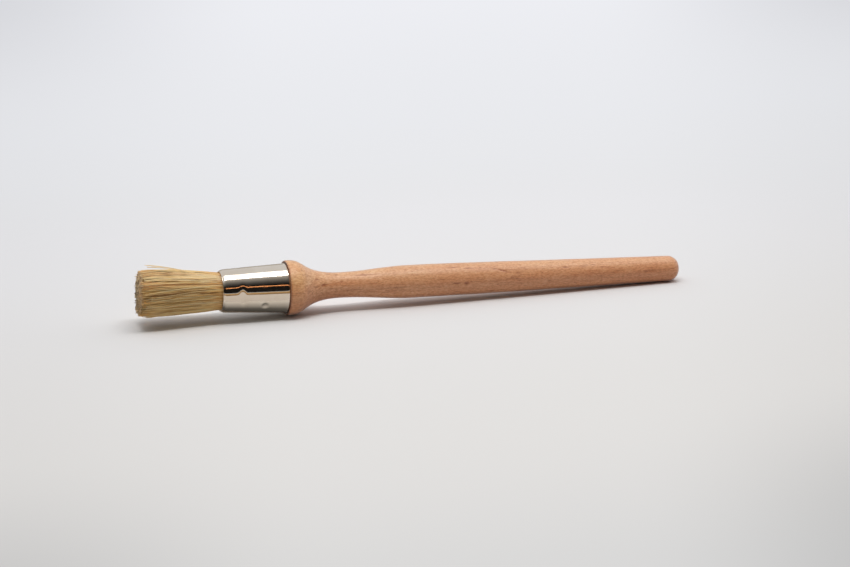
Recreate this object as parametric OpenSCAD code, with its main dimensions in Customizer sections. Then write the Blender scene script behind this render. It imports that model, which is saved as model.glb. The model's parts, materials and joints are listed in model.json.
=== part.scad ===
// Round pastry brush: a turned beech handle, a tapered plated-steel ferrule,
// and a tuft of natural bristle set in resin inside the ferrule.
//
// Every piece is a turned shape about one axis. That axis is drawn from the
// trimmed end of the bristles (position 0) to the rounded end of the handle.
// The finished brush lies on its side on a table, as it rests by itself: it
// touches the table with the rim of its collar and with the end of its handle,
// so the axis leans down by a small angle towards the handle end, and the
// bristles hang just clear of the table.
// +X runs from the bristles to the handle end, +Z is up, Z = 0 is the table.

/* [Bristles] */
// Length of bristle that stands out of the ferrule
free_len = 31; // [22:0.5:38]
// Diameter of the tuft at its trimmed end
tip_d = 18.4; // [16:0.1:19]
// How far the middle of the trimmed end is domed beyond its rim
tip_dome = 0.9; // [0.3:0.1:2]
// Length of bristle next to the ferrule that does the bending
flex_len = 5; // [5:0.5:8]
// Air gap between the bristles and the ferrule wall at the mouth
root_gap = 0.64; // [0.4:0.02:1]
// Depth of bristle held inside the ferrule
butt_depth = 12; // [10:0.5:12.5]

/* [Ferrule] */
// Length of the ferrule
ferrule_len = 25.8; // [24:0.1:30]
// Outer diameter at the mouth, where the bristles come out
ferrule_front_d = 16.5; // [16:0.1:18]
// Outer diameter at the collar
ferrule_back_d = 19.1; // [18.5:0.1:20]
// Thickness of the sheet
wall = 0.4; // [0.3:0.05:0.5]
// Distance of the rolled crimp ring from the mouth
crimp_pos = 7.6; // [7:0.1:8.5]
// Width of the crimp ring
crimp_w = 4.2; // [3:0.1:5]
// Depth of the crimp ring
crimp_depth = 0.22; // [0.1:0.02:0.3]
// Distance of the punched dimples from the mouth
stake_pos = 16.2; // [15.6:0.1:18]
// Radius of the ball that punches each dimple
stake_ball_r = 2; // [1.8:0.1:2.4]
// Depth of each dimple
stake_depth = 0.5; // [0.3:0.05:0.6]
// Turn of the first dimple about the brush axis, from the top
stake_turn = 120; // [100:1:140]

/* [Handle] */
// Length of the handle from its shoulder to its rounded end
handle_len = 165.8; // [130:0.2:200]
// How far the collar stands out beyond the ferrule
collar_step = 1.1; // [0.8:0.1:2.5]
// Distance from the shoulder to the widest line of the collar
collar_w = 1.7; // [0.9:0.1:2.6]
// Diameter of the waist between collar and grip
neck_d = 9.9; // [8:0.1:11]
// Distance from the shoulder to the waist
neck_pos = 22; // [18:0.5:26]
// Diameter of the swelling of the grip
belly_d = 12.9; // [11.2:0.1:15]
// Distance from the waist to the swelling
belly_run = 29; // [24:0.5:36]
// Diameter just before the rounded end
end_d = 10.3; // [8.6:0.1:11]
// Length of the rounding at the end
end_round = 4.3; // [2:0.1:5]
// Diameter of the small flat that the rounding leaves
end_flat_d = 3.4; // [2.4:0.1:6.4]
// Length of the tenon that fills the back of the ferrule
tenon_len = 12.2; // [11.4:0.1:12.4]

/* [Resin] */
// Length of bristle butt that the resin wraps
resin_wrap = 7.4; // [6:0.1:8]
// Clearance between a piece and the ferrule round it
fit_gap = 0.02; // [0.01:0.01:0.05]

/* [Hidden] */

beech = [0.80, 0.60, 0.44];
plated_steel = [0.78, 0.77, 0.74];
amber_resin = [0.62, 0.42, 0.20];
blond_bristle = [0.80, 0.67, 0.45];
dark_bristle = [0.66, 0.52, 0.33];

$fn = 96;

// --- Positions along the brush axis, from the trimmed end of the bristles ---
mouth = free_len;
shoulder = mouth + ferrule_len;
overall = shoulder + handle_len;

// --- Bristle section ---
root_r = ferrule_front_d / 2 - wall - root_gap;
tip_r = tip_d / 2;
// Radius that the tuft gains over the bending length
flex_r = 0.35;

// --- Curve tools ---
// Point on a cubic curve through a and d, pulled towards b and c
function curve(a, b, c, d, t) =
    a * pow(1 - t, 3) + 3 * b * pow(1 - t, 2) * t + 3 * c * (1 - t) * t * t + d * pow(t, 3);
// n steps along that curve, without its first point
function curve_pts(a, b, c, d, n) = [for (i = [1 : n]) curve(a, b, c, d, i / n)];
// Smooth hump: 1 in the middle of the width w, 0 at its edges
function hump(u, w) = abs(u) < w / 2 ? (1 + cos(360 * u / w)) / 2 : 0;

// --- Ferrule: outer radius at distance x behind the mouth ---
function ferrule_r(x) =
    ferrule_front_d / 2 + (ferrule_back_d - ferrule_front_d) / 2 * x / ferrule_len
    - crimp_depth * hump(x - crimp_pos, crimp_w);
function ferrule_in_r(x) = ferrule_r(x) - wall;

// Stations along the ferrule: plain ends, fine steps through the crimp
crimp_steps = 12;
ferrule_x = concat(
    [0.15, crimp_pos - crimp_w / 2],
    [for (i = [1 : crimp_steps - 1]) crimp_pos - crimp_w / 2 + crimp_w * i / crimp_steps],
    [crimp_pos + crimp_w / 2, ferrule_len - 0.1]);

// --- Handle outline, position and radius measured from the shoulder ---
collar_r = ferrule_back_d / 2 + collar_step;
face_r = collar_r - 0.35;
belly_pos = neck_pos + belly_run;
end_pos = handle_len - end_round;
// Rounded front edge of the collar, from the shoulder face to the widest line
collar_edge = concat([[0, face_r]],
    curve_pts([0, face_r], [0.05, collar_r - 0.12], [collar_w * 0.5, collar_r], [collar_w, collar_r], 5));
// Bell from the collar down to the waist
bell = curve_pts([collar_w, collar_r], [collar_w + 6.3, collar_r],
    [neck_pos - 14.6, neck_d / 2], [neck_pos, neck_d / 2], 16);
// Waist to the swelling of the grip
grip = curve_pts([neck_pos, neck_d / 2], [neck_pos + 12, neck_d / 2],
    [belly_pos - 12, belly_d / 2], [belly_pos, belly_d / 2], 12);
// Long taper to the end
taper = curve_pts([belly_pos, belly_d / 2], [belly_pos + 30, belly_d / 2],
    [end_pos - 45, end_d / 2 + 0.6], [end_pos, end_d / 2], 12);
// Rounded end, which closes on a small flat
rounding = [for (i = [1 : 7])
    [end_pos + end_round * sin(90 * i / 7),
     end_flat_d / 2 + (end_d - end_flat_d) / 2 * cos(90 * i / 7)]];
handle_outline = concat(collar_edge, bell, grip, taper, rounding);

// --- Resting pose ---
// The brush leans on the widest line of its collar and on the handle end.
// The lean is the slope of the line that touches the outline at both places.
bell_side = concat(collar_edge, bell);
end_side = concat(taper, rounding);
lean = atan(max([for (p = bell_side)
    min([for (q = end_side) (p[1] - q[1]) / (q[0] - p[0])])]));
// Outline points of the whole brush, as position along the axis and radius
tuft_outline = concat(
    [[0, 0]],
    curve_pts([0, 0], [0, tip_r * 0.5], [tip_dome * 0.5, tip_r - 0.5], [tip_dome + 0.6, tip_r], 8),
    curve_pts([tip_dome + 0.6, tip_r], [8, tip_r],
        [mouth - 20, root_r + 1.1], [mouth - flex_len, root_r + flex_r], 8));
brush_outline = concat(tuft_outline, [for (p = handle_outline) [p[0] + shoulder, p[1]]]);
x_low = min([for (p = brush_outline) p[0] * cos(lean) - p[1] * sin(lean)]);
x_high = max([for (p = brush_outline) p[0] * cos(lean) + p[1] * sin(lean)]);
rest_height = max([for (p = brush_outline) p[0] * sin(lean) + p[1] * cos(lean)]);

// Lays a turned shape, drawn along +Z from the bristle end, in its resting pose
module lay_down() {
    translate([-(x_low + x_high) / 2, 0, rest_height])
        rotate([0, 90 + lean, 0])
            children();
}

// Turns an outline of [position, radius] pairs about the brush axis
module turned(outline) {
    rotate_extrude()
        polygon([for (p = outline) [p[1], p[0]]]);
}

// Centre of a dimple's ball: in line with the wall at stake_pos, on one side
module at_stake(side) {
    rotate([0, 0, 180 + stake_turn + side * 180])
        translate([ferrule_r(stake_pos) - stake_depth + stake_ball_r, 0, mouth + stake_pos])
            children();
}

// Turned beech handle with a flared collar and a tenon that fills the ferrule
module handle() {
    x0 = ferrule_len - tenon_len;
    color(beech) lay_down()
        difference() {
            turned(concat(
                [[mouth + x0, 0],
                 [mouth + x0, ferrule_in_r(x0) - fit_gap - 0.5],
                 [mouth + x0 + 0.6, ferrule_in_r(x0 + 0.6) - fit_gap],
                 [shoulder, ferrule_in_r(ferrule_len) - fit_gap]],
                [for (p = handle_outline) [shoulder + p[0], p[1]]],
                [[overall, 0]]));
            for (side = [0, 1]) at_stake(side) sphere(r = stake_ball_r + wall + fit_gap);
        }
}

// Tapered ferrule: one thin shell with a crimp ring and two punched dimples
module ferrule() {
    // Rounded lips at the mouth and a plain cut at the collar
    outer = [for (x = ferrule_x) [mouth + x, ferrule_r(x)]];
    inner = [for (i = [len(ferrule_x) - 1 : -1 : 0]) [mouth + ferrule_x[i], ferrule_in_r(ferrule_x[i])]];
    color(plated_steel) lay_down()
        difference() {
            union() {
                turned(concat(
                    [[mouth, ferrule_r(0) - 0.12]], outer,
                    [[shoulder - 0.02, ferrule_r(ferrule_len) - 0.08],
                     [shoulder - 0.02, ferrule_in_r(ferrule_len) + 0.05]],
                    inner,
                    [[mouth, ferrule_in_r(0) + 0.12]]));
                // The punched metal bulges inwards
                for (side = [0, 1]) intersection() {
                    at_stake(side) sphere(r = stake_ball_r + wall);
                    turned([[mouth + stake_pos - 3, ferrule_r(stake_pos) - 2],
                            [mouth + stake_pos - 3, ferrule_r(stake_pos - 3) - wall / 2],
                            [mouth + stake_pos + 3, ferrule_r(stake_pos + 3) - wall / 2],
                            [mouth + stake_pos + 3, ferrule_r(stake_pos) - 2]]);
                }
            }
            for (side = [0, 1]) at_stake(side) sphere(r = stake_ball_r);
        }
}

// Hardened resin plug: a cup that wraps the bristle butts and locks in the crimp
module setting_resin() {
    x1 = butt_depth - resin_wrap;
    x2 = ferrule_len - tenon_len - 0.05;
    xs = concat([x1], [for (x = ferrule_x) if (x > x1 + 0.05 && x < x2 - 0.05) x], [x2]);
    color(amber_resin) lay_down()
        turned(concat(
            [[mouth + butt_depth, 0], [mouth + butt_depth, root_r], [mouth + x1, root_r]],
            [for (x = xs) [mouth + x, ferrule_in_r(x) - fit_gap]],
            [[mouth + x2, 0]]));
}

// Butts of the bristles, gathered round and held inside the ferrule
module bristle_butts() {
    color(dark_bristle) lay_down()
        turned([[mouth, 0], [mouth, root_r], [mouth + butt_depth, root_r], [mouth + butt_depth, 0]]);
}

// Bending length of the bristles, from the mouth outwards
module bristle_roots() {
    color(dark_bristle) lay_down()
        turned([[mouth - flex_len, 0], [mouth - flex_len, root_r + flex_r], [mouth, root_r], [mouth, 0]]);
}

// Free length of the bristles, flared to the trimmed and slightly domed end
module bristle_tuft() {
    color(blond_bristle) lay_down()
        turned(concat(tuft_outline, [[mouth - flex_len, 0]]));
}

handle();
ferrule();
setting_resin();
bristle_butts();
bristle_roots();
bristle_tuft();
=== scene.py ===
import json
import math

import bpy
import numpy as np
from mathutils import Matrix, Vector


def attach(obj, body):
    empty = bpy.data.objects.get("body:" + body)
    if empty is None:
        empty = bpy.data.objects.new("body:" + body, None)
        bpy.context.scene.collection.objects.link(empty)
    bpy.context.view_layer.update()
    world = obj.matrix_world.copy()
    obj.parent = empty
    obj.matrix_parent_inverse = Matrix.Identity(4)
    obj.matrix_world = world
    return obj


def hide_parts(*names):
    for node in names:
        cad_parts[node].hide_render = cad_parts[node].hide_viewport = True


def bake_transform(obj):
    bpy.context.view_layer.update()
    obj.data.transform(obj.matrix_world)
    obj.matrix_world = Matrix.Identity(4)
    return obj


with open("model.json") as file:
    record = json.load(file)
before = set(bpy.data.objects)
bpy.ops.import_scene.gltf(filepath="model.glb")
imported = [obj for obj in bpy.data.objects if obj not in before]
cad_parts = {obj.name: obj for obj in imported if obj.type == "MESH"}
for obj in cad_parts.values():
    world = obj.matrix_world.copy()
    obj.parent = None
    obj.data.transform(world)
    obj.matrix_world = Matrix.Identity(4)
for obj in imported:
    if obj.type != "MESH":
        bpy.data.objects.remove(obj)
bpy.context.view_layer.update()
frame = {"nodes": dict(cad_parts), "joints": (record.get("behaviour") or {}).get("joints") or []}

TAU = 2 * math.pi

# ---------------------------------------------------------------- brush frame
# Everything is laid out along the brush axis: s runs from the ferrule's mouth
# towards the handle end (the bristles are at negative s), u is up from the axis
# and v is sideways towards the viewer. Lengths here are in millimetres.
joint = frame["joints"][0]
M = np.array(joint["pos_m"], float) * 1000.0
N = np.array(joint["axis"], float)
N /= np.linalg.norm(N)
B = np.array([0.0, -1.0, 0.0])
D = np.cross(N, B)


def place(s, u, v):
    """Brush coordinates in mm to world coordinates in metres."""
    s, u, v = (np.asarray(k, float) for k in (s, u, v))
    p = M + s[..., None] * D + u[..., None] * N + v[..., None] * B
    return p * 0.001


def node_sr(name):
    """(s, r) of every vertex of a CAD node."""
    me = frame["nodes"][name].data
    co = np.empty(len(me.vertices) * 3)
    me.vertices.foreach_get("co", co)
    q = co.reshape(-1, 3) * 1000.0 - M
    s, u, v = q @ D, q @ N, q @ B
    return s, np.hypot(u, v)


def stations(s, r, least=24):
    """Outer radius at each place along the axis where the CAD node has a full ring of vertices."""
    key = np.round(s, 2)
    out = []
    for k in np.unique(key):
        m = key == k
        if m.sum() >= least:
            out.append((k, r[m].max()))
    return np.array(out)


def pchip(x, y, xi):
    """Shape-preserving cubic through the points."""
    x, y, xi = np.asarray(x, float), np.asarray(y, float), np.asarray(xi, float)
    h = np.diff(x)
    m = np.diff(y) / h
    d = np.zeros_like(y)
    for i in range(1, len(x) - 1):
        if m[i - 1] * m[i] > 0:
            w1, w2 = 2 * h[i] + h[i - 1], h[i] + 2 * h[i - 1]
            d[i] = (w1 + w2) / (w1 / m[i - 1] + w2 / m[i])
    d[0], d[-1] = m[0], m[-1]
    i = np.clip(np.searchsorted(x, xi) - 1, 0, len(h) - 1)
    t = (xi - x[i]) / h[i]
    return (
        (2 * t**3 - 3 * t**2 + 1) * y[i]
        + (t**3 - 2 * t**2 + t) * h[i] * d[i]
        + (-2 * t**3 + 3 * t**2) * y[i + 1]
        + (t**3 - t**2) * h[i] * d[i + 1]
    )


def smooth(a, b, x):
    t = np.clip((x - a) / (b - a), 0, 1)
    return t * t * (3 - 2 * t)


def ripple(seed, count, k_lo, k_hi, n_lo, n_hi):
    """Smooth random field over (s, phi), periodic in phi, of about unit size."""
    rg = np.random.default_rng(seed)
    ks = rg.uniform(k_lo, k_hi, count) * rg.choice([-1, 1], count)
    ns = rg.integers(n_lo, n_hi + 1, count)
    ph = rg.uniform(0, TAU, count)
    amp = rg.uniform(0.5, 1, count)
    amp /= math.sqrt((amp**2).sum() / 2)

    def f(s, phi):
        out = 0
        for k, n, p, a in zip(ks, ns, ph, amp):
            out = out + a * np.sin(k * s + n * phi + p)
        return out

    return f


# ---------------------------------------------------------------- mesh helpers
def make_mesh(name, verts, faces_flat, face_sizes, smooth_faces=True):
    """Mesh object from a vertex array and flat face arrays (all in metres)."""
    me = bpy.data.meshes.new(name)
    me.vertices.add(len(verts))
    me.vertices.foreach_set("co", np.asarray(verts, np.float32).ravel())
    me.loops.add(len(faces_flat))
    me.polygons.add(len(face_sizes))
    starts = np.concatenate([[0], np.cumsum(face_sizes)[:-1]]).astype(np.int32)
    me.polygons.foreach_set("loop_start", starts)
    me.polygons.foreach_set("vertices", np.asarray(faces_flat, np.int32))
    me.update(calc_edges=True)
    me.validate()
    me.polygons.foreach_set("use_smooth", np.full(len(me.polygons), smooth_faces))
    me.update()
    ob = bpy.data.objects.new(name, me)
    bpy.context.scene.collection.objects.link(ob)
    return ob


def vertex_float(ob, name, values):
    a = ob.data.attributes.new(name, "FLOAT", "POINT")
    a.data.foreach_set("value", np.asarray(values, np.float32))


def vertex_vector(ob, name, values):
    a = ob.data.attributes.new(name, "FLOAT_VECTOR", "POINT")
    a.data.foreach_set("vector", np.asarray(values, np.float32).ravel())


def bake_uv(ob, uv):
    layer = ob.data.uv_layers.new(name="OFBake")
    layer.data.foreach_set("uv", np.asarray(uv, np.float32).ravel())


def grid_faces(rings, seg, start=0, closed=False):
    """Quads between successive rings of seg vertices each."""
    i = np.arange(rings if closed else rings - 1)[:, None]
    j = np.arange(seg)[None, :]
    a = i * seg + j
    b = i * seg + (j + 1) % seg
    c = ((i + 1) % rings) * seg + (j + 1) % seg
    d = ((i + 1) % rings) * seg + j
    return np.stack([a, b, c, d], -1).reshape(-1, 4) + start


# ---------------------------------------------------------------- node helpers
class Nodes:
    def __init__(self, name):
        self.mat = bpy.data.materials.new(name)
        self.mat.use_nodes = True
        self.t = self.mat.node_tree
        self.t.nodes.clear()
        self.out = self.t.nodes.new("ShaderNodeOutputMaterial")

    def new(self, kind, **props):
        n = self.t.nodes.new(kind)
        for k, v in props.items():
            setattr(n, k, v)
        return n

    def link(self, a, b):
        self.t.links.new(a, b)

    def put(self, sock, value):
        if isinstance(value, bpy.types.NodeSocket):
            self.link(value, sock)
        else:
            sock.default_value = value

    def attr(self, name):
        return self.new("ShaderNodeAttribute", attribute_name=name)

    def math(self, op, a, b=0.0, c=0.0, clamp=False):
        n = self.new("ShaderNodeMath", operation=op, use_clamp=clamp)
        for i, k in enumerate((a, b, c)):
            self.put(n.inputs[i], k)
        return n.outputs[0]

    def vmath(self, op, a, b=(0, 0, 0)):
        n = self.new("ShaderNodeVectorMath", operation=op)
        self.put(n.inputs[0], a)
        self.put(n.inputs[1], b)
        return n.outputs[0]

    def noise(self, vec, scale, detail=2.0, rough=0.5, distort=0.0):
        n = self.new("ShaderNodeTexNoise")
        self.put(n.inputs["Vector"], vec)
        n.inputs["Scale"].default_value = scale
        n.inputs["Detail"].default_value = detail
        n.inputs["Roughness"].default_value = rough
        n.inputs["Distortion"].default_value = distort
        return n.outputs[0]

    def voronoi(self, vec, scale=1.0, feature="F1", rand=1.0):
        n = self.new("ShaderNodeTexVoronoi", feature=feature)
        self.put(n.inputs["Vector"], vec)
        n.inputs["Scale"].default_value = scale
        n.inputs["Randomness"].default_value = rand
        return n

    def maprange(self, v, a, b, c, d, smoothstep=True):
        n = self.new("ShaderNodeMapRange")
        n.interpolation_type = "SMOOTHSTEP" if smoothstep else "LINEAR"
        self.put(n.inputs["Value"], v)
        n.inputs["From Min"].default_value = a
        n.inputs["From Max"].default_value = b
        n.inputs["To Min"].default_value = c
        n.inputs["To Max"].default_value = d
        return n.outputs["Result"]

    def mix(self, kind, fac, a, b):
        n = self.new("ShaderNodeMix", data_type="RGBA", blend_type=kind)
        self.put(n.inputs[0], fac)
        self.put(n.inputs[6], a)
        self.put(n.inputs[7], b)
        return n.outputs[2]

    def ramp(self, fac, stops):
        n = self.new("ShaderNodeValToRGB")
        el = n.color_ramp.elements
        while len(el) < len(stops):
            el.new(0.5)
        for e, (pos, col) in zip(el, stops):
            e.position = pos
            e.color = (*col, 1.0)
        self.put(n.inputs[0], fac)
        return n.outputs[0]

    def bump(self, height, strength, distance, normal=None):
        n = self.new("ShaderNodeBump")
        n.inputs["Strength"].default_value = strength
        n.inputs["Distance"].default_value = distance
        self.put(n.inputs["Height"], height)
        if normal is not None:
            self.link(normal, n.inputs["Normal"])
        return n.outputs[0]

    def principled(self, **inputs):
        n = self.new("ShaderNodeBsdfPrincipled")
        for k, v in inputs.items():
            self.put(n.inputs[k.replace("_", " ")], v)
        self.link(n.outputs[0], self.out.inputs[0])
        return n


# ---------------------------------------------------------------- handle
def build_handle():
    s_all, r_all = node_sr("handle")
    ring = stations(s_all, r_all)
    ferrule_s, _ = node_sr("ferrule")
    shoulder = round(float(ferrule_s.max()) + 0.02, 2)
    tenon = ring[ring[:, 0] < shoulder - 0.05]
    face = ring[np.argmin(abs(ring[:, 0] - shoulder))]
    body = ring[ring[:, 0] > shoulder + 0.01]
    end_s = float(s_all.max())
    outer = np.vstack([[shoulder, face[1]], body[body[:, 0] <= end_s]])
    # one fine outline by arc length
    fine_s = np.linspace(outer[0, 0], outer[-1, 0], 6000)
    fine_r = pchip(outer[:, 0], outer[:, 1], fine_s)
    # keep the tightly curved front edge of the collar and the rounding as drawn
    run = np.concatenate([[0], np.cumsum(np.hypot(np.diff(fine_s), np.diff(fine_r)))])
    rings = 640
    k = np.linspace(0, run[-1], rings)
    ss = np.interp(k, run, fine_s)
    rr = np.interp(k, run, fine_r)
    # tenon and shoulder face before it, closing flat after it
    t0, tr = float(tenon[0, 0]), tenon[-1, 1]
    pre_s = [t0, t0, t0 + 0.6] + list(np.linspace(t0 + 2, shoulder - 0.4, 8)) + [
        shoulder + 0.42, shoulder + 0.55, shoulder + 0.48, shoulder + 0.10
    ]
    back_r = float(np.interp(shoulder, tenon[:, 0], tenon[:, 1]))
    front_r = float(tenon[min(1, len(tenon) - 1), 1])
    pre_r = [1.5, front_r - 0.45, front_r] + list(np.linspace(front_r + 0.05, back_r, 8)) + list(
        np.linspace(back_r, face[1] - 0.10, 4)
    )
    post_r = [rr[-1] * q for q in (0.94, 0.8, 0.55, 0.25)]
    dome = 0.0
    post_s = [end_s - dome] * 4
    S = np.concatenate([pre_s, ss, post_s])
    R = np.concatenate([pre_r, rr, post_r])
    n_pre, n_out = len(pre_s), len(ss)
    seg = 148
    phi = np.arange(seg) * TAU / seg
    SS, PP = np.meshgrid(S, phi, indexing="ij")
    RR = np.repeat(R[:, None], seg, 1)
    # slope along the outline, to move points along the surface normal
    dr = np.gradient(R, np.arange(len(R)))
    ds = np.gradient(S, np.arange(len(S)))
    ln = np.hypot(dr, ds) + 1e-9
    n_r, n_s = (ds / ln)[:, None], (-dr / ln)[:, None]
    shown = np.zeros(len(S))
    shown[n_pre : n_pre + n_out] = 1.0
    edge = smooth(0, 6, np.arange(len(S)) - n_pre) * smooth(0, 6, n_pre + n_out - np.arange(len(S)))
    shown = (shown * edge)[:, None]
    lift = 0.035 * ripple(11, 7, 0.02, 0.07, 1, 3)(SS, PP)          # out of round
    lift += 0.010 * ripple(12, 14, 0.15, 0.6, 2, 9)(SS, PP)         # hand sanding
    lift += 0.006 * ripple(13, 10, 1.5, 3.5, 0, 2)(SS, PP)          # turning marks
    # torn grain and dents: s, angle, length, width, depth, slant
    torn = [
        (37.3, 52, 2.6, 0.9, 0.12, -4), (40.0, 71, 3.2, 1.0, 0.16, -12), (42.3, 18, 2.4, 0.8, 0.12, 0),
        (45.5, 23, 2.2, 0.8, 0.12, 4), (47.3, 59, 1.8, 0.7, 0.09, 0), (56.7, 34, 10.0, 0.8, 0.15, 3),
        (93.0, 28, 6.5, 0.75, 0.14, 2), (99.4, 35, 5.0, 0.75, 0.13, 0), (110.6, 43, 3.0, 0.8, 0.13, 0),
        (113.4, 51, 5.5, 0.9, 0.17, 17), (120.0, 63, 2.8, 0.8, 0.12, 5), (93.7, 91, 3.6, 1.1, 0.14, 5),
        (97.9, 93, 2.4, 1.2, 0.17, 0), (87.7, 74, 4.0, 0.7, 0.10, 0), (140.5, 48, 4.0, 0.7, 0.10, 3),
        (148.3, 49, 3.6, 0.7, 0.09, -3), (152.4, 42, 3.0, 0.7, 0.09, 5), (70.0, 96, 8.0, 0.7, 0.10, -2),
        (118.0, 84, 6.0, 0.6, 0.09, 3), (163.0, 75, 5.0, 0.7, 0.10, 2), (176.0, 84, 4.0, 0.8, 0.10, 2),
        (31.0, 35, 1.4, 0.8, 0.10, 0), (33.5, 88, 1.6, 0.9, 0.11, 0), (30.0, 118, 1.5, 0.8, 0.10, 0),
    ]
    rg = np.random.default_rng(5)
    for _ in range(150):
        torn.append(
            (
                rg.uniform(27, 187), rg.uniform(0, 360), rg.uniform(1.4, 5.0), rg.uniform(0.45, 0.8),
                rg.uniform(0.03, 0.11), rg.normal(0, 4),
            )
        )
    cut = np.zeros_like(lift)
    for s0, deg, length, width, depth, slant in torn:
        row = np.where(abs(S - s0) < length)[0]
        if not len(row):
            continue
        r0 = np.interp(s0, ss, rr)
        x = SS[row] - s0
        y = (np.mod(PP[row] - math.radians(deg) + math.pi, TAU) - math.pi) * r0
        c, q = math.cos(math.radians(slant)), math.sin(math.radians(slant))
        a, b = x * c + y * q, -x * q + y * c
        e = (a / (length / 2)) ** 2 + (b / (width / 2)) ** 2
        cut[row] = np.maximum(cut[row], depth * np.exp(-e * 1.6))
    lift = lift - cut
    # a faint turned line where the collar meets the bell
    lift = lift - 0.05 * np.exp(-((SS - 31.6) / 0.28) ** 2)
    RR = RR + lift * shown * n_r
    SS = SS + lift * shown * n_s * 0.6
    V = place(SS, RR * np.cos(PP), RR * np.sin(PP)).reshape(-1, 3)
    caps = np.vstack([place(np.array([S[0]]), np.array([0.0]), np.array([0.0])),
                      place(np.array([S[-1]]), np.array([0.0]), np.array([0.0]))])
    q = grid_faces(len(S), seg)
    j = np.arange(seg)
    first = np.stack([np.full(seg, len(V)), j, (j + 1) % seg], -1)
    last0 = (len(S) - 1) * seg
    last = np.stack([np.full(seg, len(V) + 1), last0 + (j + 1) % seg, last0 + j], -1)
    flat = np.concatenate([q.ravel(), first[:, ::-1].ravel(), last[:, ::-1].ravel()])
    sizes = np.concatenate([np.full(len(q), 4), np.full(2 * seg, 3)])
    ob = make_mesh("handle_beech", np.vstack([V, caps]), flat, sizes)
    grain = np.stack([SS, RR * np.cos(PP), RR * np.sin(PP)], -1).reshape(-1, 3)
    grain = np.vstack([grain, [[S[0], 0, 0], [S[-1], 0, 0]]])
    vertex_vector(ob, "grain", grain)
    vertex_float(ob, "dent", np.concatenate([(cut * shown / 0.12).ravel(), [0, 0]]))
    # how much the cut shows end grain: the shoulder face and the domed end; values above 1 mark the shoulder face in
    # the crevice behind the ferrule, which the material darkens as painted shade
    cross = np.clip(abs(-dr / ln) * np.ones_like(R), 0, 1)
    cross[n_pre - 4 : n_pre - 1] = 2.0
    cross[n_pre - 1] = 1.5
    cross[n_pre : n_pre + 3] = 1.0
    vertex_float(ob, "cross", np.concatenate([np.repeat(cross, seg), [1, 1]]))
    # a plain strip layout for the texture bake: the length in two halves, side by side
    me = ob.data
    lv = np.empty(len(me.loops), np.int32)
    me.loops.foreach_get("vertex_index", lv)
    n_ring_v = len(S) * seg
    ring_i = np.where(lv < n_ring_v, lv // seg, np.where(lv == n_ring_v, 0, len(S) - 1))
    path = np.concatenate([[0], np.cumsum(np.hypot(np.diff(S), np.diff(R)))])
    along = path[ring_i] / path[-1]
    ang = np.where(lv < n_ring_v, (lv % seg) / seg, 0.5)
    fs = np.empty(len(me.polygons), np.int32)
    me.polygons.foreach_get("loop_start", fs)
    ft = np.empty(len(me.polygons), np.int32)
    me.polygons.foreach_get("loop_total", ft)
    face_of = np.repeat(np.arange(len(fs)), ft)
    # unwrap across the seam
    amax = np.zeros(len(fs)); np.maximum.at(amax, face_of, ang)
    amin = np.ones(len(fs)); np.minimum.at(amin, face_of, ang)
    wrap = (amax - amin > 0.6)[face_of] & (ang < 0.5)
    ang = ang + wrap
    pole = lv >= n_ring_v
    ang = np.where(pole, amax[face_of], ang)
    mid = np.zeros(len(fs)); np.add.at(mid, face_of, along); mid /= ft
    half = (mid > 0.5)[face_of]
    uu = np.where(half, along - 0.5, along) * 2 * 0.98 + 0.01
    vv = np.where(half, 0.505, 0.005) + ang * 0.485
    bake_uv(ob, np.stack([uu, vv], -1))
    return ob


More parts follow.
